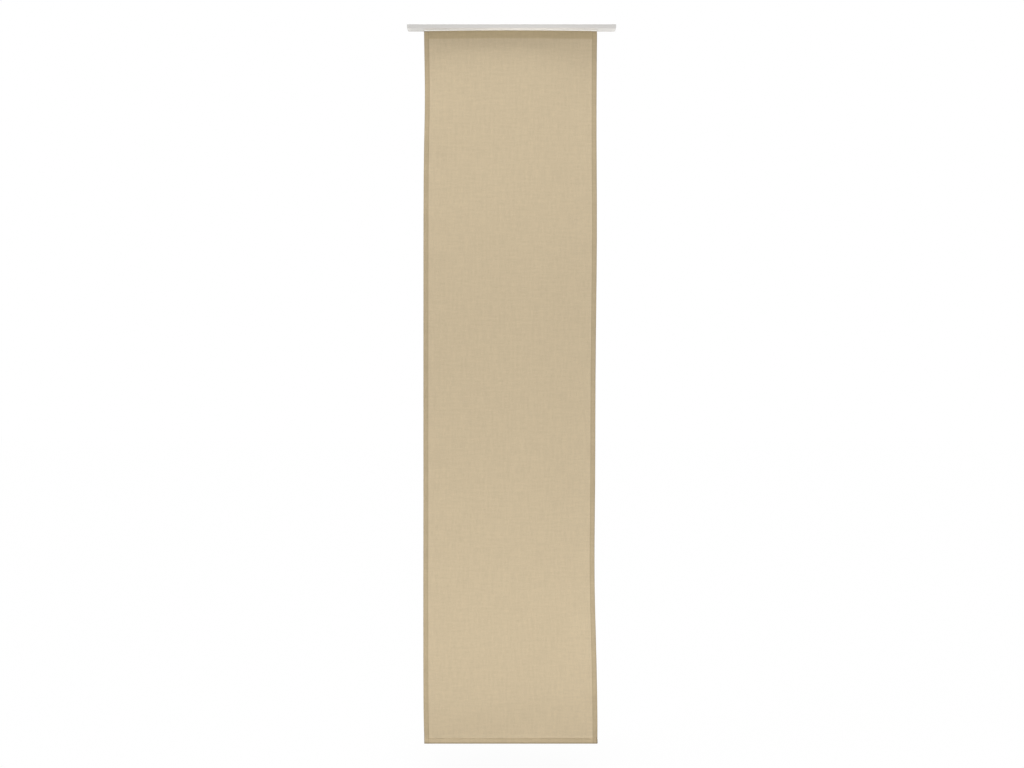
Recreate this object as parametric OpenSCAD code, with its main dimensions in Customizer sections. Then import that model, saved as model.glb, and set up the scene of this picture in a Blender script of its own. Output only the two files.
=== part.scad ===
// Sliding panel curtain: a flat hemmed cloth panel on a carrier that glides along a short ceiling track.
// X runs along the track, Y runs from the room side (-) to the window side (+), Z points up.
// The origin is the middle of the track's top face, where it lies against the ceiling. Millimetres.

/* [Track] */
// How far the track extrusion reaches past each side edge of the cloth
track_reach = 57.5; // [50:2.5:900]
// Height of the track extrusion
track_h = 14; // [12:0.5:18]
// Wall thickness of the track extrusion
track_wall = 1.4; // [1:0.1:2]
// Number of running channels side by side
channels = 3; // [2:1:5]
// Distance from one channel to the next
channel_pitch = 16; // [15:0.5:20]
// Width of the slot under each channel
slot_w = 5; // [4.6:0.1:6]
// Radius of the extrusion's outer edges
track_edge_r = 0.8; // [0.4:0.1:1.2]
// Channel that carries the panel, counted from the room side
panel_channel = 2; // [1:1:2]
// Where the panel stands along the track, from the middle
panel_x = -3.5; // [-40:0.5:40]

/* [Ceiling screws] */
// Diameter of the screw holes in the track's top wall
screw_hole_d = 4.5; // [4:0.1:5.5]
// Diameter of the driver holes below them, through the channel's lips
driver_hole_d = 9; // [8:0.5:12]
// Distance of the screw holes from the ends of the extrusion
screw_inset = 105; // [40:5:300]

/* [Track end caps] */
// Thickness of the cap's plate beyond the extrusion
cap_plate = 3; // [2.6:0.1:5]
// Length of the plugs that reach into the channels
cap_plug_len = 8; // [5:0.5:15]
// Bevel along the plate's lower outer edge
cap_bevel = 2.5; // [0.5:0.1:2.5]
// Clearance between a plug and its channel
plug_clear = 0.15; // [0.1:0.05:0.3]

/* [Cloth panel] */
// Finished width of the cloth
panel_w = 595; // [400:5:1200]
// Finished height of the cloth
panel_h = 2450; // [600:10:3000]
// How far the cloth's top edge hangs below the top of the carrier
cloth_drop = 2.6; // [0:0.1:3.5]
// Thickness of one layer of cloth
cloth_t = 0.4; // [0.3:0.05:0.6]
// Width of the side hems
side_hem = 17; // [10:1:30]
// Height of the top hem
top_hem = 28; // [24:1:40]
// Height of the bottom hem
bottom_hem = 20; // [20:1:40]
// Depth of the bottom hem's pocket, outside
pocket_d = 4.6; // [4.6:0.1:6]
// Height of the seam that closes the pocket
pocket_seam = 2; // [1:0.5:3]
// Height over which the pocket widens below its seam
pocket_flare = 3; // [2:0.5:3]

/* [Carrier] */
// Height of the carrier extrusion
carrier_h = 34; // [30:1:45]
// Wall thickness of the carrier extrusion
carrier_wall = 1.6; // [1.3:0.1:2]
// How far the carrier stops short of each side edge of the cloth
carrier_inset = 1.5; // [1.5:0.5:10]
// Gap between the track and the top of the carrier
carrier_gap = 0.8; // [0.8:0.1:4]
// Depth of the stiffening lip along the carrier's lower edge
carrier_lip = 4; // [2:0.5:6]
// Plate thickness of the carrier's own end caps
carrier_cap_plate = 1.2; // [0.8:0.1:1.4]
// Length of the stubs that hold those caps in the groove
carrier_stub_len = 5; // [3:0.5:6]

/* [Gliders] */
// Length of a glider's head and foot along the track
glider_len = 14; // [10:0.5:15]
// Width of a glider's head
head_w = 11; // [9:0.5:13]
// Height of a glider's head
head_h = 3; // [2:0.25:4.5]
// Thickness of a glider's neck, across the slot
neck_w = 3.6; // [3:0.1:3.9]
// Length of a glider's neck along the track
neck_len = 9; // [6:0.5:10]
// Width of a glider's foot in the carrier's groove
foot_w = 6.8; // [6:0.1:8]
// Height of a glider's foot
foot_h = 2.8; // [2:0.1:4]
// Thickness of the collar that sits on the carrier
collar_h = 0.5; // [0.3:0.05:0.5]
// Distance of the outer gliders from the carrier's ends
glider_inset = 15; // [14:1:60]
// Running gap between a glider's head and the channel's lips
running_gap = 0.2; // [0.1:0.05:0.3]

/* [Hook and loop tapes] */
// Width of both tapes
tape_w = 20; // [16:1:22]
// Width of the hooked or looped middle of a tape
tape_pile_w = 17; // [14:0.5:18]
// Thickness of a tape's woven base
tape_base = 0.55; // [0.4:0.05:0.8]
// Height of the hooks or loops
tape_pile = 0.55; // [0.4:0.05:0.8]
// Depth of the carrier's recess for the hook tape
tape_recess = 0.5; // [0.3:0.05:0.7]
// Distance from the top of the carrier to the top of the tapes
tape_drop = 5.25; // [3.25:0.25:6.5]

/* [Weight bar] */
// Height of the flat bar in the bottom hem
bar_h = 13; // [8:0.5:13]
// Thickness of the bar
bar_t = 2.5; // [1.5:0.1:2.5]
// How much shorter the bar is than the cloth is wide
bar_short = 11; // [8:1:60]
// How far the loose bar has slid towards +X
bar_shift = 5; // [-5:0.5:5]
// Wall thickness of the bar's end caps
bar_cap_wall = 0.5; // [0.4:0.05:0.5]
// Thickness of the caps' closed ends
bar_cap_end = 2; // [1:0.5:4]
// Length of bar that a cap covers
bar_cap_grip = 12; // [6:1:25]
// Clearance between a cap and the bar
bar_cap_clear = 0.05; // [0.03:0.01:0.08]

/* [Hidden] */
$fn = 48;

LEFT = -1;
RIGHT = 1;
// Overshoot of a cut past the face that it opens
cut = 1;

// Track
track_len = panel_w + 2 * track_reach;
track_d = channels * channel_pitch + track_wall;
chamber_w = channel_pitch - track_wall;
chamber_h = track_h - 2 * track_wall;
chamber_floor = track_wall - track_h;
function channel_y(i) = (i - (channels + 1) / 2) * channel_pitch;

// Carrier, measured from the middle of its glider groove
panel_y = channel_y(panel_channel);
carrier_top = -track_h - carrier_gap;
carrier_len = panel_w - 2 * carrier_inset;
groove_clear = 0.2;
groove_w = foot_w + 2 * groove_clear;
groove_h = foot_h + 2 * groove_clear;
groove_box_w = groove_w + 2 * carrier_wall;
groove_box_h = groove_h + 2 * carrier_wall;
groove_slot_w = neck_w + 4 * groove_clear;
carrier_front = -groove_box_w / 2;
tape_fit = 0.3;

// Gliders, spread evenly between the two outer ones
glider_total = 4;
glider_span = carrier_len - 2 * glider_inset;
function glider_x(i) = glider_span * ((i - 1) / (glider_total - 1) - 0.5);
glider_corner_r = 3;
foot_corner_r = 1;
neck_corner_r = neck_w / 3;
collar_inset = 1;
collar_w = groove_box_w - 2 * collar_inset;

// Layers in front of the carrier, from the hook tape to the cloth
hook_back = carrier_front + tape_recess;
hook_front = hook_back - tape_base - tape_pile;
loop_front = hook_front - tape_pile - tape_base;
cloth_front = loop_front - 2 * cloth_t;
tape_hem_gap = 1;
tape_len = panel_w - 2 * (side_hem + tape_hem_gap);
tape_mid = -tape_drop - tape_w / 2;

// Cloth
cloth_top = carrier_top - cloth_drop;
cloth_bottom = cloth_top - panel_h;
side_fold_r = 1.5 * cloth_t;
top_fold_r = cloth_t;
pocket_r = pocket_d / 2;

// Weight bar, with its caps low in the pocket
bar_len = panel_w - bar_short;
bar_edge_r = 0.5;
cap_h = bar_h + 2 * (bar_cap_wall + bar_cap_clear);
cap_t = bar_t + 2 * (bar_cap_wall + bar_cap_clear);
cap_edge_r = bar_edge_r + bar_cap_wall;
cap_lift = 1.4;
bar_mid = [panel_x + bar_shift, panel_y + cloth_front + cloth_t, cloth_bottom + cap_lift + cap_h / 2];

cloth_colour = [0.78, 0.71, 0.58];
aluminium_colour = [0.82, 0.82, 0.81];
plastic_colour = [0.86, 0.86, 0.85];
white_coat_colour = [0.9, 0.9, 0.88];
tape_colour = [0.93, 0.92, 0.9];

// Rectangle round the origin with round corners
module soft_rect(size, r) {
    square([size.x - 2 * r, size.y], center = true);
    square([size.x, size.y - 2 * r], center = true);
    for (sx = [-1, 1], sy = [-1, 1])
        translate([sx * (size.x / 2 - r), sy * (size.y / 2 - r)])
            circle(r);
}

// Section drawn in Y and Z, carried from one X to another
module along_x(from, to) {
    translate([from, 0, 0])
        rotate([90, 0, 90])
            linear_extrude(height = to - from)
                children();
}

// Section drawn in Y and Z, centred along X
module bar_along_x(len) {
    along_x(-len / 2, len / 2)
        children();
}

module track_outline() {
    translate([0, -track_h / 2])
        soft_rect([track_d, track_h], track_edge_r);
}

module channel_opening() {
    translate([-chamber_w / 2, chamber_floor])
        square([chamber_w, chamber_h]);
    translate([-slot_w / 2, -track_h - cut])
        square([slot_w, track_wall + 2 * cut]);
}

module track_section() {
    difference() {
        track_outline();
        for (i = [1:channels])
            translate([channel_y(i), 0])
                channel_opening();
    }
}

// Screw hole in the top wall, with a driver hole through the lips below it
module ceiling_screw_holes() {
    for (sx = [LEFT, RIGHT], i = [1, channels])
        translate([sx * (track_len / 2 - screw_inset), channel_y(i), 0]) {
            translate([0, 0, -track_wall - cut])
                cylinder(d = screw_hole_d, h = track_wall + 2 * cut);
            translate([0, 0, -track_h - cut])
                cylinder(d = driver_hole_d, h = track_wall + 2 * cut);
        }
}

module track_profile() {
    color(aluminium_colour)
        difference() {
            bar_along_x(track_len)
                track_section();
            ceiling_screw_holes();
        }
}

// Side view of the cap's plate, from the extrusion's end outwards
module cap_plate_side() {
    polygon([
        [0, 0],
        [cap_plate, 0],
        [cap_plate, cap_bevel - track_h],
        [cap_plate - cap_bevel, -track_h],
        [0, -track_h]
    ]);
}

module end_cap_plate() {
    intersection() {
        translate([0, track_d / 2, 0])
            rotate([90, 0, 0])
                linear_extrude(height = track_d)
                    cap_plate_side();
        along_x(0, cap_plate)
            track_outline();
    }
}

module end_cap_plugs() {
    plug_corner_r = 0.6;
    for (i = [1:channels])
        translate([0, channel_y(i), chamber_floor + chamber_h / 2])
            along_x(-cap_plug_len, 0)
                soft_rect([chamber_w - 2 * plug_clear, chamber_h - 2 * plug_clear], plug_corner_r);
}

module track_end_cap(side) {
    color(plastic_colour)
        rotate([0, 0, side == LEFT ? 180 : 0])
            translate([track_len / 2, 0, 0]) {
                end_cap_plate();
                end_cap_plugs();
            }
}

// Flat blade with the glider groove behind its top edge and a lip along its lower edge
module carrier_section() {
    difference() {
        union() {
            translate([carrier_front, -carrier_h])
                square([carrier_wall, carrier_h]);
            translate([carrier_front, -groove_box_h])
                square([groove_box_w, groove_box_h]);
            translate([carrier_front, -carrier_h])
                square([carrier_lip, carrier_wall]);
        }
        translate([-groove_w / 2, carrier_wall - groove_box_h])
            square([groove_w, groove_h]);
        translate([-groove_slot_w / 2, -carrier_wall - cut])
            square([groove_slot_w, carrier_wall + 2 * cut]);
        translate([carrier_front - cut, tape_mid - tape_w / 2 - tape_fit])
            square([tape_recess + cut, tape_w + 2 * tape_fit]);
    }
}

module panel_carrier() {
    color(white_coat_colour)
        translate([panel_x, panel_y, carrier_top])
            bar_along_x(carrier_len)
                carrier_section();
}

module carrier_end_cap(side) {
    stub_clear = 0.1;
    cap_corner_r = 0.8;
    stub_corner_r = 0.4;
    color(plastic_colour)
        translate([panel_x, panel_y, carrier_top - groove_box_h / 2])
            rotate([0, 0, side == LEFT ? 180 : 0])
                translate([carrier_len / 2, 0, 0]) {
                    along_x(0, carrier_cap_plate)
                        soft_rect([groove_box_w, groove_box_h], cap_corner_r);
                    along_x(-carrier_stub_len, 0)
                        soft_rect([groove_w - 2 * stub_clear, groove_h - 2 * stub_clear], stub_corner_r);
                }
}

// Head on the channel's lips, neck through both slots, collar on the carrier and foot in its groove
module glider(i) {
    foot_top = carrier_top - carrier_wall;
    head_bottom = chamber_floor + running_gap;
    color(tape_colour)
        translate([panel_x + glider_x(i), panel_y, 0]) {
            translate([0, 0, head_bottom])
                linear_extrude(height = head_h)
                    soft_rect([glider_len, head_w], glider_corner_r);
            translate([0, 0, foot_top - foot_h])
                linear_extrude(height = head_bottom - foot_top + foot_h)
                    soft_rect([neck_len, neck_w], neck_corner_r);
            translate([0, 0, carrier_top])
                linear_extrude(height = collar_h)
                    soft_rect([glider_len, collar_w], glider_corner_r);
            translate([0, 0, foot_top - foot_h])
                linear_extrude(height = foot_h)
                    soft_rect([glider_len, foot_w], foot_corner_r);
        }
}

// Woven base with the narrower bed of hooks or loops on it, from the base's back towards side
module tape_section(side) {
    translate([side < 0 ? -tape_base : 0, -tape_w / 2])
        square([tape_base, tape_w]);
    translate([side < 0 ? -tape_base - tape_pile : 0, -tape_pile_w / 2])
        square([tape_base + tape_pile, tape_pile_w]);
}

module hook_tape() {
    color(tape_colour)
        translate([panel_x, panel_y + hook_back, carrier_top + tape_mid])
            bar_along_x(tape_len)
                tape_section(-1);
}

module loop_tape() {
    color(tape_colour)
        translate([panel_x, panel_y + loop_front, carrier_top + tape_mid])
            bar_along_x(tape_len)
                tape_section(1);
}

// One layer of cloth, three layers thick at the side hems, seen from above
module cloth_plan() {
    fold_x = panel_w / 2 - side_fold_r;
    translate([-fold_x, 0])
        square([2 * fold_x, cloth_t]);
    for (side = [LEFT, RIGHT]) {
        translate([side * (panel_w / 2 - side_hem / 2 - side_fold_r / 2), side_fold_r])
            square([side_hem - side_fold_r, 2 * side_fold_r], center = true);
        translate([side * fold_x, side_fold_r])
            circle(side_fold_r);
    }
}

// Cloth turned back along the top edge
module top_hem_section() {
    translate([0, -top_hem])
        square([2 * cloth_t, top_hem - top_fold_r]);
    translate([top_fold_r, -top_fold_r])
        circle(top_fold_r);
}

// Cloth turned up round the weight bar and sewn down, with the fold at the bottom.
// The bar's weight hangs plumb, so the pocket widens to both sides of its seam.
module pocket_outline(layer) {
    r = pocket_r - layer;
    seam_half = cloth_t - layer;
    seam_bottom = bottom_hem - pocket_seam;
    full_top = seam_bottom - pocket_flare;
    translate([cloth_t, 0]) {
        translate([0, pocket_r])
            circle(r);
        polygon([
            [-r, pocket_r],
            [r, pocket_r],
            [r, full_top],
            [seam_half, seam_bottom],
            [-seam_half, seam_bottom],
            [-r, full_top]
        ]);
    }
}

module pocket_section() {
    difference() {
        union() {
            pocket_outline(0);
            translate([0, bottom_hem - pocket_seam])
                square([2 * cloth_t, pocket_seam]);
        }
        pocket_outline(cloth_t);
    }
}

module cloth_panel() {
    hem_top = cloth_bottom + bottom_hem;
    color(cloth_colour)
        translate([panel_x, panel_y + cloth_front, 0]) {
            translate([0, 0, hem_top])
                linear_extrude(height = cloth_top - top_fold_r - hem_top)
                    cloth_plan();
            translate([0, 0, cloth_top])
                bar_along_x(panel_w - 2 * side_fold_r)
                    top_hem_section();
            translate([0, 0, cloth_bottom])
                bar_along_x(panel_w)
                    pocket_section();
        }
}

module weight_bar() {
    color(aluminium_colour)
        translate(bar_mid)
            bar_along_x(bar_len)
                soft_rect([bar_t, bar_h], bar_edge_r);
}

module weight_bar_cap(side) {
    color(plastic_colour)
        translate(bar_mid)
            rotate([0, 0, side == LEFT ? 180 : 0])
                translate([bar_len / 2, 0, 0])
                    difference() {
                        along_x(-bar_cap_grip, bar_cap_end)
                            soft_rect([cap_t, cap_h], cap_edge_r);
                        along_x(-bar_cap_grip - cut, 0)
                            soft_rect([bar_t + 2 * bar_cap_clear, bar_h + 2 * bar_cap_clear], bar_edge_r);
                    }
}

track_profile();
track_end_cap(LEFT);  // track_end_cap_left
track_end_cap(RIGHT);  // track_end_cap_right
panel_carrier();
carrier_end_cap(LEFT);  // carrier_end_cap_left
carrier_end_cap(RIGHT);  // carrier_end_cap_right
glider(1);  // glider_1
glider(2);  // glider_2
glider(3);  // glider_3
glider(4);  // glider_4
hook_tape();
loop_tape();
cloth_panel();
weight_bar();
weight_bar_cap(LEFT);  // weight_bar_cap_left
weight_bar_cap(RIGHT);  // weight_bar_cap_right
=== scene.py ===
import math

import bmesh
import bpy
from mathutils import Matrix, Vector, noise


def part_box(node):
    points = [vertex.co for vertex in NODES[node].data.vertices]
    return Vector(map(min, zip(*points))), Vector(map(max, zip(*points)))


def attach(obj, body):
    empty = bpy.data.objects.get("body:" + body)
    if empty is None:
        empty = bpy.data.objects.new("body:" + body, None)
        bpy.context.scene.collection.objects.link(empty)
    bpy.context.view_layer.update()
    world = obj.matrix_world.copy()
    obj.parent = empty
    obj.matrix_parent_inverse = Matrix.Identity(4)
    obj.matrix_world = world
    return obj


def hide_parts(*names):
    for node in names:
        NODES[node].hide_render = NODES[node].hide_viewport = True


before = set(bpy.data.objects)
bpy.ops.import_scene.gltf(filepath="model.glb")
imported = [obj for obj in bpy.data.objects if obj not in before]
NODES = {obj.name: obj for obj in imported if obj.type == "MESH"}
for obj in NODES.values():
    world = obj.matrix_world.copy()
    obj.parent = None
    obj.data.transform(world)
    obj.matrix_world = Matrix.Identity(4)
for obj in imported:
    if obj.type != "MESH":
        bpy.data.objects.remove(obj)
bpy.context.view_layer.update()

# Sliding panel curtain: a hemmed cloth panel on a carrier that glides along a short ceiling track.
# X runs along the track, Y from the room towards the window and Z up, in metres from the ceiling.

# The cloth as it was cut, folded and sewn. It is shown a little thinner, so that its layers stay apart.
CLOTH_T = 0.0004
SHOWN_T = 0.9 * CLOTH_T
SIDE_HEM = 0.017
TOP_HEM = 0.028
BOTTOM_HEM = 0.020
POCKET_SEAM = 0.002
POCKET_FLARE = 0.003
POCKET_R = 0.0023
POCKET_SLACK = 0.00055
SEAM_FORWARD = 0.0007
SEAM_PULL = 0.012
CORNER_BULK = 0.0013
CORNER_EASE = 0.015
CLOTH_LOW, CLOTH_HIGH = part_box("cloth_panel")
MIDDLE_X = (CLOTH_LOW.x + CLOTH_HIGH.x) / 2
PLUMB_Y = CLOTH_LOW.y + POCKET_R
TOP_Z = CLOTH_HIGH.z
BOTTOM_Z = CLOTH_LOW.z
HALF_W = (CLOTH_HIGH.x - CLOTH_LOW.x) / 2
HEM_EDGE = HALF_W - SIDE_HEM

# Folds across the cloth, measured along its middle surface from the panel's centre line
FOLD_R = CLOTH_T
TURN_R = CLOTH_T / 2
RAW_EDGE_GAP = 0.001
FLAP_INSET = 0.001
RUN_FRONT = HALF_W - FOLD_R - CLOTH_T / 2
RUN_BACK = SIDE_HEM - FOLD_R - TURN_R - CLOTH_T
RUN_INSIDE = RUN_BACK - RAW_EDGE_GAP
FOLD_END = RUN_FRONT + math.pi * FOLD_R
BACK_END = FOLD_END + RUN_BACK
TURN_END = BACK_END + math.pi * TURN_R
CUT_HALF = TURN_END + RUN_INSIDE
FLAP_HALF = HEM_EDGE - FLAP_INSET

# Folds down the cloth, measured from where the front leaves the top fold
FOLD_Z = TOP_Z - CLOTH_T / 2 - TURN_R
TOP_FOLD = math.pi * TURN_R
FLAP = TOP_HEM - CLOTH_T
POCKET_HALF = POCKET_R - CLOTH_T / 2
SEAM_Z = BOTTOM_Z + BOTTOM_HEM - POCKET_SEAM
FULL_Z = SEAM_Z - POCKET_FLARE
ARC_Z = BOTTOM_Z + POCKET_R
RUN_DOWN = FOLD_Z - SEAM_Z
FLARE_END = RUN_DOWN + POCKET_FLARE
WALL_END = FLARE_END + FULL_Z - ARC_Z
ARC_END = WALL_END + math.pi * POCKET_HALF
RISE_END = ARC_END + FULL_Z - ARC_Z
CLOSE_END = RISE_END + POCKET_FLARE
CUT_END = CLOSE_END + POCKET_SEAM

# Columns and rows of the cloth's mesh lie closer together within these distances of its hems
CLOSE_TO_HEM = 0.012
CLOSE_TO_TOP = 0.01
CLOSE_TO_POCKET = 0.02

# How the hung cloth departs from a flat sheet. A wave is its place down the cloth, its reach and its size.
TOP_ARCH = 0.0028
TOP_ARCH_RISE = 0.0004
ARCH_FADE = 0.5
LEFT_DRIFT = ((0.24, 0.17, 0.0033), (1.40, 0.46, -0.0028), (1.95, 0.38, -0.0022), (2.46, 0.08, 0.0018))
RIGHT_DRIFT = ((0.36, 0.25, -0.0018), (1.27, 0.50, -0.0043), (1.88, 0.28, -0.0063), (2.40, 0.12, 0.0012))
BELLIES = ((0.70, 0.42, -0.022), (1.58, 0.52, 0.026), (2.28, 0.26, -0.0115))
FREE_BELOW_CARRIER = (0.04, 0.30)
BAR_REACH_LEFT = 0.09
BAR_REACH_RIGHT = 0.18
RIGHT_CURL = 0.009
CURL_ACROSS = (0.3 * HALF_W, 1.1 * HALF_W)
CURL_TURN = 1.5
CURL_TURN_DOWN = (1.65, 2.30)
TOP_CORNER_BACK = 0.0055
LEFT_CORNER_ACROSS = (0.5 * HALF_W, 1.1 * HALF_W)
RIGHT_CORNER_ACROSS = (0.1 * HALF_W, HALF_W)
TOP_CORNER_GOES_BACK = (0.03, 0.085)
TOP_CORNER_COMES_FORWARD = (0.10, 0.40)
HEM_PUFF = 0.0004
HEM_PUFF_FADE = 0.03
RIPPLE = 0.0009
RIPPLE_LENGTH = 0.13
RIPPLE_REACH = 0.035
RIPPLE_WANDER = 4.0
RIPPLE_WANDERS_PER_METRE = 2.0
RIPPLE_SEED = 1.7
SOFT_WAVE = 0.0012
SOFT_WAVE_SIZE = 0.22

# Sewing. A stitch follows its seam between two shares of the pitch.
STITCH_IN = 0.0016
STITCH_PITCH = 0.0032
STITCH_LENGTH = 0.0027
STITCH_FROM = 0.1
STITCH_TO = 0.9
THREAD_W = 0.00055
POCKET_SEAM_STOPS = 0.002
TAPE_SELVEDGE = 0.0008
ROOM_SIDE = Vector((0, -1, 0))
WINDOW_SIDE = Vector((0, 1, 0))


def smooth(low, high, value):
    """Eases from 0 at low to 1 at high."""
    share = min(max((value - low) / (high - low), 0.0), 1.0)
    return share * share * (3.0 - 2.0 * share)


def bump(at, reach, value):
    """A soft hump of height 1 round one place."""
    return math.exp(-(((value - at) / reach) ** 2))


def between(left, right, x):
    """A value that changes evenly from the panel's left edge to its right edge."""
    return left + (right - left) * (x / HALF_W + 1) / 2


def srgb(red, green, blue):
    """A colour as a picture shows it, from 0 to 255, made linear."""
    return tuple(((c / 255 + 0.055) / 1.055) ** 2.4 for c in (red, green, blue)) + (1.0,)


# Cloth

def across(u):
    """Where a thread lies across the panel, and how deep it lies behind the front in a side hem."""
    side = -1.0 if u < 0 else 1.0
    s = abs(u)
    if s <= RUN_FRONT:
        return u, 0.0
    if s <= FOLD_END:
        angle = (s - RUN_FRONT) / FOLD_R
        return side * (RUN_FRONT + FOLD_R * math.sin(angle)), FOLD_R * (1 - math.cos(angle))
    if s <= BACK_END:
        return side * (RUN_FRONT - (s - FOLD_END)), 2 * CLOTH_T
    inner = RUN_FRONT - RUN_BACK
    if s <= TURN_END:
        angle = (s - BACK_END) / TURN_R
        return side * (inner - TURN_R * math.sin(angle)), 2 * CLOTH_T - TURN_R * (1 - math.cos(angle))
    return side * (inner + s - TURN_END), CLOTH_T


def down(v, x):
    """Where a thread lies down the panel: its depth from the plumb line, its height and its turn."""
    layered = smooth(HEM_EDGE - CORNER_EASE, HEM_EDGE, abs(x))
    behind = CLOTH_T / 2 + 2 * CLOTH_T * layered - SEAM_FORWARD
    seam = CLOTH_T / 2 + 2 * CLOTH_T * layered + SEAM_FORWARD
    wide = POCKET_HALF - POCKET_SLACK + CORNER_BULK * layered
    if v < -TOP_FOLD:
        return CLOTH_T / 2, FOLD_Z + v + TOP_FOLD, math.pi
    if v < 0:
        angle = -v / TURN_R
        return -TURN_R * math.cos(angle), FOLD_Z + TURN_R * math.sin(angle), angle
    if v <= RUN_DOWN:
        pull = smooth(RUN_DOWN - SEAM_PULL, RUN_DOWN, v)
        return -CLOTH_T / 2 - (seam - CLOTH_T / 2) * pull, FOLD_Z - v, 0.0
    if v <= FLARE_END:
        share = smooth(RUN_DOWN, FLARE_END, v)
        return -seam - (wide - seam) * share, FOLD_Z - v, 0.0
    if v <= WALL_END:
        return -wide, FOLD_Z - v, 0.0
    if v <= ARC_END:
        angle = (v - WALL_END) / POCKET_HALF
        return -wide * math.cos(angle), ARC_Z - POCKET_HALF * math.sin(angle), angle
    if v <= RISE_END:
        return wide, ARC_Z + v - ARC_END, math.pi
    if v <= CLOSE_END:
        share = smooth(RISE_END, CLOSE_END, v)
        return wide - (wide - behind) * share, ARC_Z + v - ARC_END, math.pi
    return behind, ARC_Z + v - ARC_END, math.pi


def drift(x, drop):
    """Sideways drift of the hanging cloth, between that of its two side edges."""
    left, right = (
        sum(shift * bump(at, reach, drop) for at, reach, shift in edge)
        for edge in (LEFT_DRIFT, RIGHT_DRIFT)
    )
    return between(left, right, x)


def billow(x, drop):
    """Slow waves out of the plane. The carrier and the weight bar hold the cloth straight."""
    bar_reach = between(BAR_REACH_LEFT, BAR_REACH_RIGHT, x)
    pulled = min(max(1 - (TOP_Z - SEAM_Z - drop) / bar_reach, 0.0), 1.0)
    free = smooth(*FREE_BELOW_CARRIER, drop) * (1 - pulled ** 2)
    belly = sum(depth * bump(at, reach, drop) for at, reach, depth in BELLIES)
    curl = RIGHT_CURL * smooth(*CURL_ACROSS, x) * (1 - CURL_TURN * smooth(*CURL_TURN_DOWN, drop))
    corners = smooth(*LEFT_CORNER_ACROSS, -x) + smooth(*RIGHT_CORNER_ACROSS, x)
    corners *= smooth(*TOP_CORNER_GOES_BACK, drop) * (1 - smooth(*TOP_CORNER_COMES_FORWARD, drop))
    soft = SOFT_WAVE * noise.noise(Vector((x, 0.0, drop)) / SOFT_WAVE_SIZE)
    near_edge = math.exp(-(HALF_W - abs(x)) / RIPPLE_REACH)
    side = 1.0 if x > 0 else 0.0
    wander = noise.noise(Vector((side, RIPPLE_SEED, drop)) * RIPPLE_WANDERS_PER_METRE)
    ripple = RIPPLE * near_edge * math.sin(2 * math.pi * drop / RIPPLE_LENGTH + RIPPLE_WANDER * wander)
    return TOP_CORNER_BACK * corners + free * (belly + curl + soft + ripple)


def place(u, v):
    """Where a point of the flat cut ends up on the hung panel."""
    x, depth = across(u)
    y, z, turn = down(v, x)
    y += depth * math.cos(turn)
    z += depth * math.sin(turn)
    stitched = HEM_EDGE + STITCH_IN
    hem_share = (abs(x) - stitched) / (HALF_W - stitched)
    if 0 < hem_share < 1:
        above_pocket = 1 - smooth(RUN_DOWN - HEM_PUFF_FADE, RUN_DOWN - POCKET_SEAM, v)
        puff = HEM_PUFF * smooth(0.0, HEM_PUFF_FADE, v) * above_pocket
        y += puff * math.sin(math.pi * hem_share) * (depth / CLOTH_T - 1)
    drop = TOP_Z - z
    arch = TOP_ARCH_RISE - TOP_ARCH * (x / HALF_W) ** 2
    z += arch * (1 - smooth(0.0, ARCH_FADE, drop))
    return Vector((
        MIDDLE_X + x + drift(x, drop),
        PLUMB_Y + y + billow(x, drop),
        z,
    ))


def stations(start, *stretches):
    """Places of the rows or columns. Each stretch says where it ends and how many steps it takes."""
    found = [start]
    for end, steps in stretches:
        first = found[-1]
        found += [first + (end - first) * (step + 1) / steps for step in range(steps)]
    return found


def finish_piece(name, bm, material):
    """Makes a bmesh an object of the scene, at the origin."""
    mesh = bpy.data.meshes.new(name)
    bm.to_mesh(mesh)
    bm.free()
    mesh.materials.append(material)
    piece = bpy.data.objects.new(name, mesh)
    bpy.context.scene.collection.objects.link(piece)
    return piece


def make_cloth(material):
    """The whole cut, with its columns and rows close together at the hems, folded and hung."""
    half = stations(
        0.0,
        (FLAP_HALF - CLOSE_TO_HEM, 38),
        (FLAP_HALF, 4),
        (HEM_EDGE + STITCH_IN, 2),
        (RUN_FRONT, 8),
        (FOLD_END, 6),
        (BACK_END - STITCH_IN, 6),
        (BACK_END, 1),
        (TURN_END, 4),
        (CUT_HALF, 3),
    )
    columns = [-u for u in reversed(half[1:])] + half
    rows = stations(
        -TOP_FOLD - FLAP,
        (-TOP_FOLD, 3),
        (0.0, 6),
        (CLOSE_TO_TOP, 2),
        (RUN_DOWN - CLOSE_TO_POCKET, 236),
        (RUN_DOWN - POCKET_SEAM, 8),
        (RUN_DOWN, 2),
        (FLARE_END, 5),
        (WALL_END, 3),
        (ARC_END, 10),
        (RISE_END, 3),
        (CLOSE_END, 5),
        (CUT_END, 2),
    )
    bm = bmesh.new()
    uv = bm.loops.layers.uv.new("cut")
    bmesh.ops.create_grid(bm, x_segments=len(columns) - 1, y_segments=len(rows) - 1, size=0.5)
    flat = {}
    for vert in bm.verts:
        column = round((vert.co.x + 0.5) * (len(columns) - 1))
        row = round((0.5 - vert.co.y) * (len(rows) - 1))
        flat[vert] = (columns[column], rows[row])
    notches = []
    for face in bm.faces:
        for loop in face.loops:
            loop[uv].uv = flat[loop.vert]
        u = sum(abs(flat[vert][0]) for vert in face.verts) / len(face.verts)
        v = sum(flat[vert][1] for vert in face.verts) / len(face.verts)
        if v < 0 and u > FLAP_HALF:
            notches.append(face)
        face.smooth = True
    for vert, (u, v) in flat.items():
        vert.co = place(u, v)
    bmesh.ops.delete(bm, geom=notches, context="FACES")
    bmesh.ops.reverse_faces(bm, faces=bm.faces)
    cloth = finish_piece("hemmed_cloth", bm, material)
    wall = cloth.modifiers.new("cloth thickness", "SOLIDIFY")
    wall.thickness = SHOWN_T
    wall.offset = 0.0
    return cloth


# Sewing thread

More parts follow.
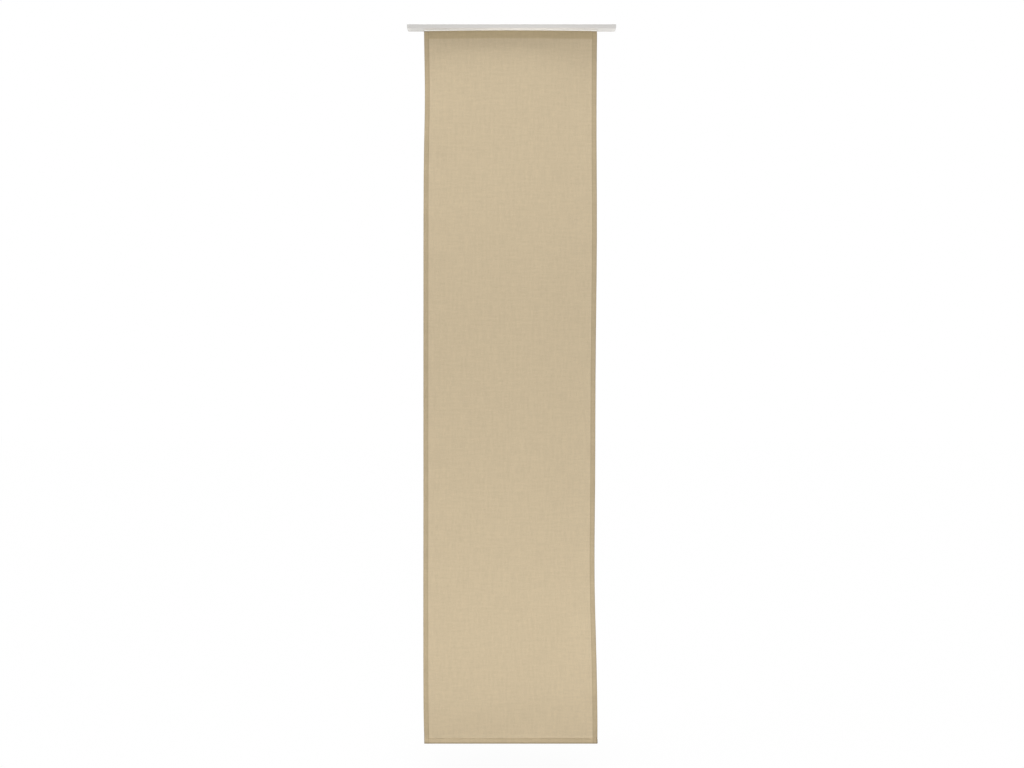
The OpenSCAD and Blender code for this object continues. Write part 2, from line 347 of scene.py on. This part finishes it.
def stitch_shape():
    """One stitch along X: a plump bit of thread that dives into the cloth at both ends."""
    bm = bmesh.new()
    bmesh.ops.create_uvsphere(bm, u_segments=6, v_segments=5, radius=0.5)
    bmesh.ops.rotate(bm, verts=bm.verts, matrix=Matrix.Rotation(math.pi / 2, 3, "Y"))
    bmesh.ops.scale(bm, verts=bm.verts, vec=(STITCH_LENGTH, THREAD_W, THREAD_W))
    for face in bm.faces:
        face.smooth = True
    mesh = bpy.data.meshes.new("stitch")
    bm.to_mesh(mesh)
    bm.free()
    return mesh


def sew(whole, stitch, seam, length, outward):
    """Lays stitches along a seam. seam(s) is the cloth's middle surface, outward the side they lie on."""
    count = int(length / STITCH_PITCH)
    for step in range(count):
        start = seam((step + STITCH_FROM) * STITCH_PITCH)
        end = seam((step + STITCH_TO) * STITCH_PITCH)
        along = (end - start).normalized()
        across_seam = outward.cross(along).normalized()
        up = along.cross(across_seam)
        turned = stitch.copy()
        spot = (start + end) / 2 + up * (CLOTH_T / 2)
        turned.transform(Matrix.Translation(spot) @ Matrix((along, across_seam, up)).transposed().to_4x4())
        whole.from_mesh(turned)
        bpy.data.meshes.remove(turned)


def make_stitching(name, seams, material):
    """All the stitches of one kind of hem. A seam is its run on the cut, its length and its side."""
    bm = bmesh.new()
    stitch = stitch_shape()
    for seam, length, outward in seams:
        sew(bm, stitch, seam, length, outward)
    bpy.data.meshes.remove(stitch)
    return finish_piece(name, bm, material)


def side_hem_seams():
    """Both side hems, seen on the front and on the turned-back edge."""
    front_u = HEM_EDGE + STITCH_IN
    back_u = BACK_END - STITCH_IN
    length = RUN_DOWN - TOP_HEM
    for side in (-1, 1):
        yield (lambda s, u=side * front_u: place(u, TOP_HEM + s)), length, ROOM_SIDE
        yield (lambda s, u=side * back_u: place(u, TOP_HEM + s)), length, WINDOW_SIDE


def bottom_hem_seams():
    """The seam that closes the pocket, on the front and on the back."""
    edge = RUN_FRONT - POCKET_SEAM_STOPS
    front_v = RUN_DOWN - POCKET_SEAM / 2
    back_v = CLOSE_END + POCKET_SEAM / 2
    yield (lambda s: place(s - edge, front_v)), 2 * edge, ROOM_SIDE
    yield (lambda s: place(s - edge, back_v)), 2 * edge, WINDOW_SIDE


def tape_seams():
    """The two seams that hold the loop tape, seen on the front."""
    low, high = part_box("loop_tape")
    half = (high.x - low.x) / 2
    for height in (high.z - TAPE_SELVEDGE, low.z + TAPE_SELVEDGE):
        yield (lambda s, v=FOLD_Z - height: place(s - half, v)), 2 * half, ROOM_SIDE


# Shader nodes

def put(tree, kind, feeds=None, **settings):
    """Adds a node, with its settings, and feeds its inputs with numbers, colours or other outputs."""
    made = tree.nodes.new(kind)
    for name, value in settings.items():
        setattr(made, name, value)
    for name, value in (feeds or {}).items():
        if isinstance(value, bpy.types.NodeSocket):
            tree.links.new(value, made.inputs[name])
        else:
            made.inputs[name].default_value = value
    return made


def calc(tree, operation, *values, clamp=False):
    """A Math node's result."""
    feeds = dict(enumerate(values))
    return put(tree, "ShaderNodeMath", feeds, operation=operation, use_clamp=clamp).outputs[0]


def ease(tree, value, low, high, first=0.0, last=1.0):
    """A smooth step from first at low to last at high."""
    feeds = {"Value": value, "From Min": low, "From Max": high, "To Min": first, "To Max": last}
    return put(tree, "ShaderNodeMapRange", feeds, interpolation_type="SMOOTHSTEP").outputs[0]


def distance_from(tree, value, spot):
    """How far a value is from one spot, on either side."""
    return calc(tree, "ABSOLUTE", calc(tree, "SUBTRACT", value, spot))


def stretched_noise(tree, vector, scale, detail=2.0):
    """Noise whose grain is drawn out differently along each axis. scale is grains per metre."""
    spread = put(tree, "ShaderNodeVectorMath", {0: vector, 1: scale}, operation="MULTIPLY").outputs[0]
    return put(tree, "ShaderNodeTexNoise", {"Vector": spread, "Scale": 1.0, "Detail": detail}).outputs["Fac"]


def blend_colours(tree, share, first, second, kind="MIX"):
    """Two colours mixed by a share."""
    made = put(tree, "ShaderNodeMix", data_type="RGBA", blend_type=kind)
    for name, value in (("Factor", share), ("A", first), ("B", second)):
        socket = next(s for s in made.inputs if s.name == name and s.enabled)
        if isinstance(value, bpy.types.NodeSocket):
            tree.links.new(value, socket)
        else:
            socket.default_value = value
    return next(s for s in made.outputs if s.enabled)


def new_group(name, inputs, outputs):
    """An empty shader node group with named sockets, and its two end nodes."""
    group = bpy.data.node_groups.new(name, "ShaderNodeTree")
    for socket, kind in inputs:
        group.interface.new_socket(socket, in_out="INPUT", socket_type=kind)
    for socket in outputs:
        group.interface.new_socket(socket, in_out="OUTPUT", socket_type="NodeSocketFloat")
    return group, put(group, "NodeGroupInput").outputs, put(group, "NodeGroupOutput").inputs


# Grains per metre along each axis, and the spans that most of a noise's values lie in
WARP_WANDER = (900.0, 45.0, 0.0)
WEFT_WANDER = (45.0, 900.0, 7.0)
WARP_TONE = (1500.0, 50.0, 3.0)
WEFT_TONE = (50.0, 1500.0, 9.0)
WARP_SLUB = (130.0, 13.0, 1.0)
WEFT_SLUB = (15.0, 130.0, 5.0)
DIE_LINES = (3.0, 2600.0, 2600.0)
DIE_TONE = (1.5, 900.0, 900.0)
SLOW_GLOSS = (60.0, 60.0, 60.0)
THREAD_FIBRES = (5200.0, 5200.0, 5200.0)
NOISE_MIDDLE = 0.5
NARROW_SPAN = (0.3, 0.7)
MEDIUM_SPAN = (0.25, 0.75)
BROAD_SPAN = (0.2, 0.8)

# How far threads sway, in threads, and how softly one passes over the other
THREAD_SWAY = 0.9
CROSSING_SOFT = 0.3


def plain_weave_group():
    """Plain weave of round threads on flat cloth coordinates: their relief, own tone and longer slubs."""
    group, given, found = new_group(
        "plain weave",
        [("Cloth", "NodeSocketVector"), ("Threads per metre", "NodeSocketFloat")],
        ["Relief", "Thread tone", "Slub"],
    )
    cloth, per_metre = given["Cloth"], given["Threads per metre"]
    flat = put(group, "ShaderNodeSeparateXYZ", {0: cloth}).outputs
    threads = []
    for axis, scale in (("X", WARP_WANDER), ("Y", WEFT_WANDER)):
        wander = calc(group, "SUBTRACT", stretched_noise(group, cloth, scale), NOISE_MIDDLE)
        sway = calc(group, "MULTIPLY", wander, THREAD_SWAY)
        threads.append(calc(group, "MULTIPLY_ADD", flat[axis], per_metre, sway))
    waves = [calc(group, "SINE", calc(group, "MULTIPLY", t, math.pi)) for t in threads]
    warp_over = ease(group, calc(group, "MULTIPLY", *waves), -CROSSING_SOFT, CROSSING_SOFT)
    rounds = []
    for thread in threads:
        side = calc(group, "MULTIPLY_ADD", calc(group, "FRACT", thread), 2.0, -1.0)
        rounds.append(calc(group, "SUBTRACT", 1.0, calc(group, "MULTIPLY", side, side)))
    warp, weft = rounds
    relief = put(group, "ShaderNodeMix", {"Factor": warp_over, "A": weft, "B": warp}).outputs[0]
    group.links.new(relief, found["Relief"])
    warp_tone = stretched_noise(group, cloth, WARP_TONE)
    weft_tone = stretched_noise(group, cloth, WEFT_TONE)
    tone = put(group, "ShaderNodeMix", {"Factor": warp_over, "A": weft_tone, "B": warp_tone}).outputs[0]
    group.links.new(tone, found["Thread tone"])
    slubs = calc(
        group,
        "ADD",
        stretched_noise(group, cloth, WARP_SLUB),
        stretched_noise(group, cloth, WEFT_SLUB),
    )
    group.links.new(calc(group, "MULTIPLY", slubs, 0.5), found["Slub"])
    return group


def drawn_lines_group():
    """Fine lines that a die leaves along an extrusion, which runs along X."""
    group, given, found = new_group("drawn lines", [("Place", "NodeSocketVector")], ["Relief", "Tone"])
    for output, scale in (("Relief", DIE_LINES), ("Tone", DIE_TONE)):
        group.links.new(stretched_noise(group, given["Place"], scale, detail=3.0), found[output])
    return group


def moulded_grain_group():
    """Fine spark grain of a mould, with slow uneven gloss."""
    group, given, found = new_group(
        "moulded grain",
        [("Place", "NodeSocketVector"), ("Grains per metre", "NodeSocketFloat")],
        ["Relief", "Gloss"],
    )
    feeds = {"Vector": given["Place"], "Scale": given["Grains per metre"], "Detail": 3.0}
    group.links.new(put(group, "ShaderNodeTexNoise", feeds).outputs["Fac"], found["Relief"])
    group.links.new(stretched_noise(group, given["Place"], SLOW_GLOSS), found["Gloss"])
    return group


WEAVE = plain_weave_group()
DRAWN = drawn_lines_group()
GRAIN = moulded_grain_group()


def new_material(name, **shader):
    """A material with its Principled shader's plain values set."""
    material = bpy.data.materials.new(name)
    material.use_nodes = True
    tree = material.node_tree
    surface = tree.nodes["Principled BSDF"]
    for key, value in shader.items():
        surface.inputs[key.replace("_", " ").title()].default_value = value
    return material, tree, surface


def object_place(tree):
    """The point's own place on its piece."""
    return put(tree, "ShaderNodeTexCoord").outputs["Object"]


def raise_surface(tree, surface, height, distance, strength):
    """Bump from a height that changes over the surface."""
    feeds = {"Height": height, "Distance": distance, "Strength": strength}
    tree.links.new(put(tree, "ShaderNodeBump", feeds).outputs[0], surface.inputs["Normal"])


def use_group(tree, group, **feeds):
    """Places a node group in a material, with its inputs fed by name."""
    given = {name.replace("_", " "): value for name, value in feeds.items()}
    return put(tree, "ShaderNodeGroup", given, node_tree=group).outputs


# Colours of the cloth, its thread and the tapes. The hem and top band colours are painted shade, darker
# where less light comes through more layers.
FIELD = srgb(207, 189, 157)
HEM_SHADE = srgb(189, 171, 139)
TOP_BAND_SHADE = srgb(193, 174, 138)
# Painted shade in the gaps between threads
WEAVE_GAP_SHADE = srgb(168, 150, 119)
# Painted shade along seams, folds and the lower right corner
CREASE_SHADE = srgb(148, 131, 102)
THREAD_DARK = srgb(168, 150, 118)
THREAD_PALE = srgb(198, 181, 148)
TAPE_BED = srgb(238, 236, 230)
# Painted shade between the hooks or loops
TAPE_GAP_SHADE = srgb(196, 193, 186)

# Share of the painted hem shade at the left end of the bottom hem; it deepens to the full hem shade at the
# right end
LOW_HEM_SHADE_LEFT = 0.55

# Painted shade on the cloth along seams, folds and the lower right corner: widths and heights in metres, and
# shares of the painted crease shade
HEM_SOFT = 0.0005
BAND_INSET = 0.001
BAND_END = TOP_HEM - BAND_INSET
BAND_SOFT = 0.0035
# Painted shade along the seams
PULL_REACH = (0.0003, 0.0016)
PULL_SHADE_SHARE = 0.35
PULL_SHADE_MIDDLE = 0.02
# Painted shade along folds and on the pocket's flare
FOLD_SHADE_SHARE = 0.9
SIDE_FOLD_W = 0.0025
SIDE_FOLD_SHADE_SHARE = 0.45
SIDE_FOLD_DARKENS = 0.06
LOW_FOLD_W = 0.004
FLARE_FADE = 0.003
FLARE_SHADE_SHARE = 0.25
# Painted shade on the lower right corner
CORNER_SOFT = 0.003
CORNER_H = 0.05
CORNER_SHADE_SHARE = 0.25
CAP_EDGE_FROM = 0.0045
CAP_EDGE_TO = 0.0015
CAP_EDGE_H = 0.02
CAP_EDGE_SHADE_SHARE = 0.6

# Weave of the cloth and the tapes, in threads per metre, and the depth of its tones and reliefs
CLOTH_THREADS = 1600.0
TAPE_THREADS = 2500.0
# Span of the painted shade between the hooks or loops
PILE_SPAN = (0.1, 0.8)
# Painted shade in the weave's gaps: the relief below which it starts, and its share
GAP_SHADE_BELOW = 0.7
GAP_SHADE_SHARE = 0.35
THREAD_CONTRAST = 0.1
SLUB_CONTRAST = 0.035
SLUB_HEIGHT = 0.6
TAPE_WEAVE_HEIGHT = 0.3

# How far the roughness of a finish strays to either side
DRAWN_STRAY = 0.05
MOULDED_STRAY = 0.06


# Materials

def hem_and_band_shade(tree, flat, from_middle):
    """The field, and painted shade on the hems and the top band, darker where less light comes through more
    layers; on the bottom hem it deepens from left to right.
    """
    # Masks of the painted hem shade: side hems, top band and bottom hem
    sides = ease(tree, from_middle, HEM_EDGE - HEM_SOFT, HEM_EDGE + HEM_SOFT)
    top = ease(tree, flat["Y"], BAND_END + BAND_SOFT, BAND_END - BAND_SOFT)
    seam = RUN_DOWN - POCKET_SEAM
    bottom = ease(tree, flat["Y"], seam - HEM_SOFT, seam + HEM_SOFT)
    # Painted shade: the bottom hem darkens from left to right
    bottom_hem_shade_share = ease(tree, flat["X"], -HALF_W, HALF_W, LOW_HEM_SHADE_LEFT, 1.0)
    layers = calc(tree, "MAXIMUM", sides, calc(tree, "MULTIPLY", bottom, bottom_hem_shade_share))
    return blend_colours(tree, top, blend_colours(tree, layers, FIELD, HEM_SHADE), TOP_BAND_SHADE)


def seam_pull_shade(tree, flat, from_middle):
    """Painted shade where thread pulls the cloth in, along the side hems and above the pocket, where it
    deepens from the middle to the right end.
    """
    from_side_seam = distance_from(tree, from_middle, HEM_EDGE + STITCH_IN)
    from_low_seam = distance_from(tree, flat["Y"], RUN_DOWN - POCKET_SEAM / 2)
    side_pull_shade = ease(tree, from_side_seam, *PULL_REACH, PULL_SHADE_SHARE, 0.0)
    low_pull_shade = ease(tree, from_low_seam, *PULL_REACH, 1.0, 0.0)
    low_pull_shade_share = ease(tree, flat["X"], 0.0, HALF_W, PULL_SHADE_MIDDLE, PULL_SHADE_SHARE)
    return calc(tree, "MAXIMUM", side_pull_shade, calc(tree, "MULTIPLY", low_pull_shade, low_pull_shade_share))


def fold_shade(tree, flat, from_middle):
    """Painted shade along the folded sides, deepening towards the bottom, along the pocket's low fold, and
    on the flare under its seam.
    """
    side_edge = ease(tree, from_middle, RUN_FRONT - SIDE_FOLD_W, RUN_FRONT)
    side_fold_shade_share = ease(tree, flat["Y"], RUN_DOWN - SIDE_FOLD_DARKENS, RUN_DOWN, SIDE_FOLD_SHADE_SHARE, FOLD_SHADE_SHARE)
    side_fold_shade = calc(tree, "MULTIPLY", side_edge, side_fold_shade_share)
    low_fold_shade = ease(tree, flat["Y"], WALL_END - LOW_FOLD_W, WALL_END, 0.0, FOLD_SHADE_SHARE)
    below_seam = ease(tree, flat["Y"], RUN_DOWN - HEM_SOFT, RUN_DOWN + HEM_SOFT)
    flare_shade_share = ease(tree, flat["Y"], FLARE_END, FLARE_END + FLARE_FADE, FLARE_SHADE_SHARE, 0.0)
    flare = calc(tree, "MULTIPLY", below_seam, flare_shade_share)
    return calc(tree, "ADD", calc(tree, "ADD", side_fold_shade, low_fold_shade), flare)


def lower_right_shade(tree, flat):
    """Painted shade on the lower right corner, over the right hem where the layers are thickest and along
    the edge that lies over the end of the bar.
    """
    right_hem = ease(tree, flat["X"], HEM_EDGE, HEM_EDGE + CORNER_SOFT)
    thick_hem_shade_share = ease(tree, flat["Y"], RUN_DOWN - CORNER_H, RUN_DOWN, 0.0, CORNER_SHADE_SHARE)
    thick_hem_shade = calc(tree, "MULTIPLY", right_hem, thick_hem_shade_share)
    right_edge = ease(tree, flat["X"], RUN_FRONT - CAP_EDGE_FROM, RUN_FRONT - CAP_EDGE_TO)
    cap_edge_shade_share = ease(tree, flat["Y"], RUN_DOWN - CAP_EDGE_H, RUN_DOWN, 0.0, CAP_EDGE_SHADE_SHARE)
    return calc(tree, "ADD", thick_hem_shade, calc(tree, "MULTIPLY", right_edge, cap_edge_shade_share))


def panel_cloth():
    """Sand coloured plain weave with its hems, seams and folds, and painted shade on its hems, seams, folds,
    lower right corner and in the weave's gaps.
    """
    material, tree, surface = new_material("panel cloth", roughness=0.92, sheen_weight=0.15)
    cut = put(tree, "ShaderNodeUVMap", uv_map="cut").outputs[0]
    flat = put(tree, "ShaderNodeSeparateXYZ", {0: cut}).outputs
    from_middle = calc(tree, "ABSOLUTE", flat["X"])
    weave = use_group(tree, WEAVE, Cloth=cut, Threads_per_metre=CLOTH_THREADS)
    # Painted shade of seams, folds and the lower right corner, mixed in with the crease shade colour
    fold_and_corner_shade = calc(tree, "ADD", fold_shade(tree, flat, from_middle), lower_right_shade(tree, flat))
    painted_shade_marks = calc(tree, "ADD", seam_pull_shade(tree, flat, from_middle), fold_and_corner_shade, clamp=True)
    cloth = blend_colours(tree, painted_shade_marks, hem_and_band_shade(tree, flat, from_middle), CREASE_SHADE)
    # Painted shade where the weave's relief is low, between the threads
    gap_shade_mask = ease(tree, weave["Relief"], 0.0, GAP_SHADE_BELOW, GAP_SHADE_SHARE, 0.0)
    woven = blend_colours(tree, gap_shade_mask, cloth, WEAVE_GAP_SHADE)
    thread_tone = ease(tree, weave["Thread tone"], *MEDIUM_SPAN, 1 - THREAD_CONTRAST, 1 + THREAD_CONTRAST)
    slub_tone = ease(tree, weave["Slub"], *NARROW_SPAN, 1 - SLUB_CONTRAST, 1 + SLUB_CONTRAST)
    tone = calc(tree, "MULTIPLY", thread_tone, slub_tone)
    shade = put(tree, "ShaderNodeCombineColor", {"Red": tone, "Green": tone, "Blue": tone}).outputs[0]
    toned = blend_colours(tree, 1.0, woven, shade, "MULTIPLY")
    tree.links.new(toned, surface.inputs["Base Color"])
    height = calc(tree, "MULTIPLY_ADD", weave["Slub"], SLUB_HEIGHT, weave["Relief"])
    raise_surface(tree, surface, height, distance=0.00018, strength=0.6)
    return material


def sewing_thread():
    """Matching polyester thread with its twist."""
    material, tree, surface = new_material("sewing thread", roughness=0.6, sheen_weight=0.1)
    fibres = stretched_noise(tree, object_place(tree), THREAD_FIBRES)
    colour = blend_colours(tree, fibres, THREAD_DARK, THREAD_PALE)
    tree.links.new(colour, surface.inputs["Base Color"])
    raise_surface(tree, surface, fibres, distance=0.00005, strength=0.5)
    return material


def drawn_metal(name, darker, paler, metallic, roughness):
    """An extrusion's surface: fine lines along its length and a slow change of tone."""
    material, tree, surface = new_material(name, metallic=metallic)
    lines = use_group(tree, DRAWN, Place=object_place(tree))
    colour = blend_colours(tree, ease(tree, lines["Tone"], *NARROW_SPAN), darker, paler)
    tree.links.new(colour, surface.inputs["Base Color"])
    rough = ease(tree, lines["Relief"], *BROAD_SPAN, roughness - DRAWN_STRAY, roughness + DRAWN_STRAY)
    tree.links.new(rough, surface.inputs["Roughness"])
    raise_surface(tree, surface, lines["Relief"], distance=0.00003, strength=0.12)
    return material


def moulded_plastic(name, darker, paler, roughness, grains):
    """A moulded piece with its fine grain."""
    material, tree, surface = new_material(name)
    grain = use_group(tree, GRAIN, Place=object_place(tree), Grains_per_metre=grains)
    colour = blend_colours(tree, grain["Gloss"], darker, paler)
    tree.links.new(colour, surface.inputs["Base Color"])
    rough = ease(tree, grain["Gloss"], *BROAD_SPAN, roughness - MOULDED_STRAY, roughness + MOULDED_STRAY)
    tree.links.new(rough, surface.inputs["Roughness"])
    raise_surface(tree, surface, grain["Relief"], distance=0.00004, strength=0.3)
    return material


def pile_tape(name, per_metre, depth):
    """White woven tape under a bed of hooks or loops, with painted shade in the gaps between them."""
    material, tree, surface = new_material(name, roughness=0.85, sheen_weight=0.2)
    place_on = object_place(tree)
    beds = put(tree, "ShaderNodeTexVoronoi", {"Vector": place_on, "Scale": per_metre}).outputs["Distance"]
    weave = use_group(tree, WEAVE, Cloth=place_on, Threads_per_metre=TAPE_THREADS)
    colour = blend_colours(tree, ease(tree, beds, *PILE_SPAN), TAPE_BED, TAPE_GAP_SHADE)
    tree.links.new(colour, surface.inputs["Base Color"])
    pile = calc(tree, "SUBTRACT", 1.0, beds)
    height = calc(tree, "MULTIPLY_ADD", weave["Relief"], TAPE_WEAVE_HEIGHT, pile)
    raise_surface(tree, surface, height, depth, strength=0.7)
    return material


CLOTH = panel_cloth()
THREAD = sewing_thread()
TRACK_METAL = drawn_metal(
    "track metal",
    darker=srgb(201, 199, 196),
    paler=srgb(204, 202, 199),
    metallic=0.0,
    roughness=0.42,
)
CARRIER_COAT = drawn_metal(
    "carrier coat",
    darker=srgb(229, 228, 223),
    paler=srgb(233, 232, 227),
    metallic=0.0,
    roughness=0.42,
)
BAR_METAL = drawn_metal(
    "bar metal",
    darker=srgb(168, 168, 168),
    paler=srgb(184, 184, 184),
    metallic=1.0,
    roughness=0.36,
)
TRACK_PLASTIC = moulded_plastic(
    "track cap plastic",
    darker=srgb(198, 197, 194),
    paler=srgb(203, 202, 199),
    roughness=0.5,
    grains=2600.0,
)
SMALL_PLASTIC = moulded_plastic(
    "small cap plastic",
    darker=srgb(118, 110, 98),
    paler=srgb(130, 122, 110),
    roughness=0.5,
    grains=3200.0,
)
GLIDER_PLASTIC = moulded_plastic(
    "glider plastic",
    darker=srgb(234, 234, 231),
    paler=srgb(240, 240, 237),
    roughness=0.32,
    grains=2200.0,
)
HOOK_TAPE = pile_tape("hook tape", per_metre=1100.0, depth=0.0004)
LOOP_TAPE = pile_tape("loop tape", per_metre=1700.0, depth=0.0003)

FINISHES = {
    "track_profile": TRACK_METAL,
    "track_end_cap_left": TRACK_PLASTIC,
    "track_end_cap_right": TRACK_PLASTIC,
    "panel_carrier": CARRIER_COAT,
    "carrier_end_cap_left": TRACK_PLASTIC,
    "carrier_end_cap_right": TRACK_PLASTIC,
    "glider_1": GLIDER_PLASTIC,
    "glider_2": GLIDER_PLASTIC,
    "glider_3": GLIDER_PLASTIC,
    "glider_4": GLIDER_PLASTIC,
    "hook_tape": HOOK_TAPE,
    "loop_tape": LOOP_TAPE,
    "weight_bar": BAR_METAL,
    "weight_bar_cap_left": SMALL_PLASTIC,
    "weight_bar_cap_right": SMALL_PLASTIC,
}
for node, finish in FINISHES.items():
    NODES[node].data.materials.clear()
    NODES[node].data.materials.append(finish)

# Pieces

cloth = make_cloth(CLOTH)
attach(cloth, "panel")
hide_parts("cloth_panel")

seams = [
    make_stitching("side_hem_stitches", side_hem_seams(), THREAD),
    make_stitching("bottom_hem_stitches", bottom_hem_seams(), THREAD),
    make_stitching("loop_tape_stitches", tape_seams(), THREAD),
]
for seam in seams:
    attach(seam, "panel")

# Stage, light and camera

WHITE = (1.0, 1.0, 1.0, 1.0)
FLOOR_GAP = 0.13
FLOOR_SIZE = 60.0
FLOOR_TONE = (0.62, 0.62, 0.62, 1.0)
FLOOR_WHITE = 0.96
AMBIENT = 0.26
OVERHEAD_SUN = 3.0
KEY_SUN = 0.95
LOW_SUN = 0.45
CARRIER_SUN = 1.2
BACK_SUN = 1.3
TRACK_LAMP = 5.0
TRACK_LAMP_AT = (0.04, -0.09, -0.394)
TRACK_LAMP_RADIUS = 0.03
TRACK_LAMP_COLOUR = (1.0, 0.97, 0.92)
TRACK_PIECES = ("track_profile", "track_end_cap_left", "track_end_cap_right")
CARRIER_PIECES = ("panel_carrier", "carrier_end_cap_left", "carrier_end_cap_right")
VIEW_DISTANCE = 5.0
VIEW_X = 0.0016
VIEW_Z = -1.2319
LENS = 51.17
SENSOR_W = 36.0


def seen_directly(tree):
    """1 where the eye, a reflection or a view through glass meets the surface, and 0 for its light."""
    path = put(tree, "ShaderNodeLightPath").outputs
    shiny = calc(tree, "MAXIMUM", path["Is Glossy Ray"], path["Is Transmission Ray"])
    return calc(tree, "MAXIMUM", path["Is Camera Ray"], shiny)


def make_floor():
    """A pale floor under the panel that is seen from above only."""
    bm = bmesh.new()
    bmesh.ops.create_grid(bm, x_segments=1, y_segments=1, size=FLOOR_SIZE / 2)
    bmesh.ops.translate(bm, verts=bm.verts, vec=(0, 0, BOTTOM_Z - FLOOR_GAP))
    material = bpy.data.materials.new("pale floor")
    material.use_nodes = True
    tree = material.node_tree
    matt = put(tree, "ShaderNodeBsdfDiffuse", {"Color": FLOOR_TONE}).outputs[0]
    white = put(tree, "ShaderNodeEmission", {"Color": WHITE}).outputs[0]
    share = calc(tree, "MULTIPLY", seen_directly(tree), FLOOR_WHITE)
    mixed = put(tree, "ShaderNodeMixShader", {0: share, 1: matt, 2: white}).outputs[0]
    below = put(tree, "ShaderNodeNewGeometry").outputs["Backfacing"]
    clear = put(tree, "ShaderNodeBsdfTransparent").outputs[0]
    one_sided = put(tree, "ShaderNodeMixShader", {0: below, 1: mixed, 2: clear}).outputs[0]
    tree.links.new(one_sided, tree.nodes["Material Output"].inputs["Surface"])
    floor = finish_piece("floor", bm, material)
    floor.visible_shadow = False


def light_world():
    """A white surround that lights the panel only softly."""
    world = bpy.data.worlds.new("studio")
    world.use_nodes = True
    bpy.context.scene.world = world
    tree = world.node_tree
    soft = put(tree, "ShaderNodeBackground", {"Color": WHITE, "Strength": AMBIENT}).outputs[0]
    white = put(tree, "ShaderNodeBackground", {"Color": WHITE, "Strength": 1.0}).outputs[0]
    mixed = put(tree, "ShaderNodeMixShader", {0: seen_directly(tree), 1: soft, 2: white}).outputs[0]
    tree.links.new(mixed, tree.nodes["World Output"].inputs["Surface"])


def add_lamp(name, kind, strength):
    """A lamp of one kind, in the scene."""
    data = bpy.data.lights.new(name, kind)
    data.energy = strength
    lamp = bpy.data.objects.new(name, data)
    bpy.context.scene.collection.objects.link(lamp)
    return lamp


def add_sun(name, strength, azimuth, elevation, width):
    """Even light from one side of the room, as wide as a lamp that spans that many degrees."""
    lamp = add_lamp(name, "SUN", strength)
    lamp.data.angle = math.radians(width)
    around, up = math.radians(azimuth), math.radians(elevation)
    towards = Vector((math.sin(around) * math.cos(up), -math.cos(around) * math.cos(up), math.sin(up)))
    lamp.rotation_euler = towards.to_track_quat("Z", "Y").to_euler()
    return lamp


def add_track_lamp():
    """A small lamp below the middle of the track. Its light fades towards the ends."""
    lamp = add_lamp("lamp under the track", "POINT", TRACK_LAMP)
    lamp.data.color = TRACK_LAMP_COLOUR
    lamp.data.shadow_soft_size = TRACK_LAMP_RADIUS
    lamp.location = TRACK_LAMP_AT
    lamp.visible_camera = False
    return lamp


def keep_to(lamp, name, nodes):
    """Keeps a lamp's light to some pieces, and only they shade each other in it."""
    pieces = bpy.data.collections.new(name)
    for node in nodes:
        pieces.objects.link(NODES[node])
    lamp.light_linking.receiver_collection = pieces
    lamp.light_linking.blocker_collection = pieces


def add_camera():
    """A level camera that faces the panel."""
    data = bpy.data.cameras.new("camera")
    data.lens = LENS
    data.sensor_width = SENSOR_W
    camera = bpy.data.objects.new("camera", data)
    camera.location = (VIEW_X, PLUMB_Y - VIEW_DISTANCE, VIEW_Z)
    camera.rotation_euler = (math.pi / 2, 0, 0)
    bpy.context.scene.collection.objects.link(camera)
    bpy.context.scene.camera = camera


make_floor()
light_world()
add_sun("overhead light", OVERHEAD_SUN, azimuth=0, elevation=78, width=14)
add_sun("key light", KEY_SUN, azimuth=-58, elevation=30, width=35)
add_sun("low light", LOW_SUN, azimuth=0, elevation=-58, width=40)
keep_to(add_track_lamp(), "track pieces", TRACK_PIECES)
carrier_light = add_sun("light on the carrier", CARRIER_SUN, azimuth=0, elevation=-20, width=30)
keep_to(carrier_light, "carrier pieces", CARRIER_PIECES)
add_sun("back light", BACK_SUN, azimuth=160, elevation=30, width=40)
add_camera()
bpy.context.scene.view_settings.view_transform = "Standard"
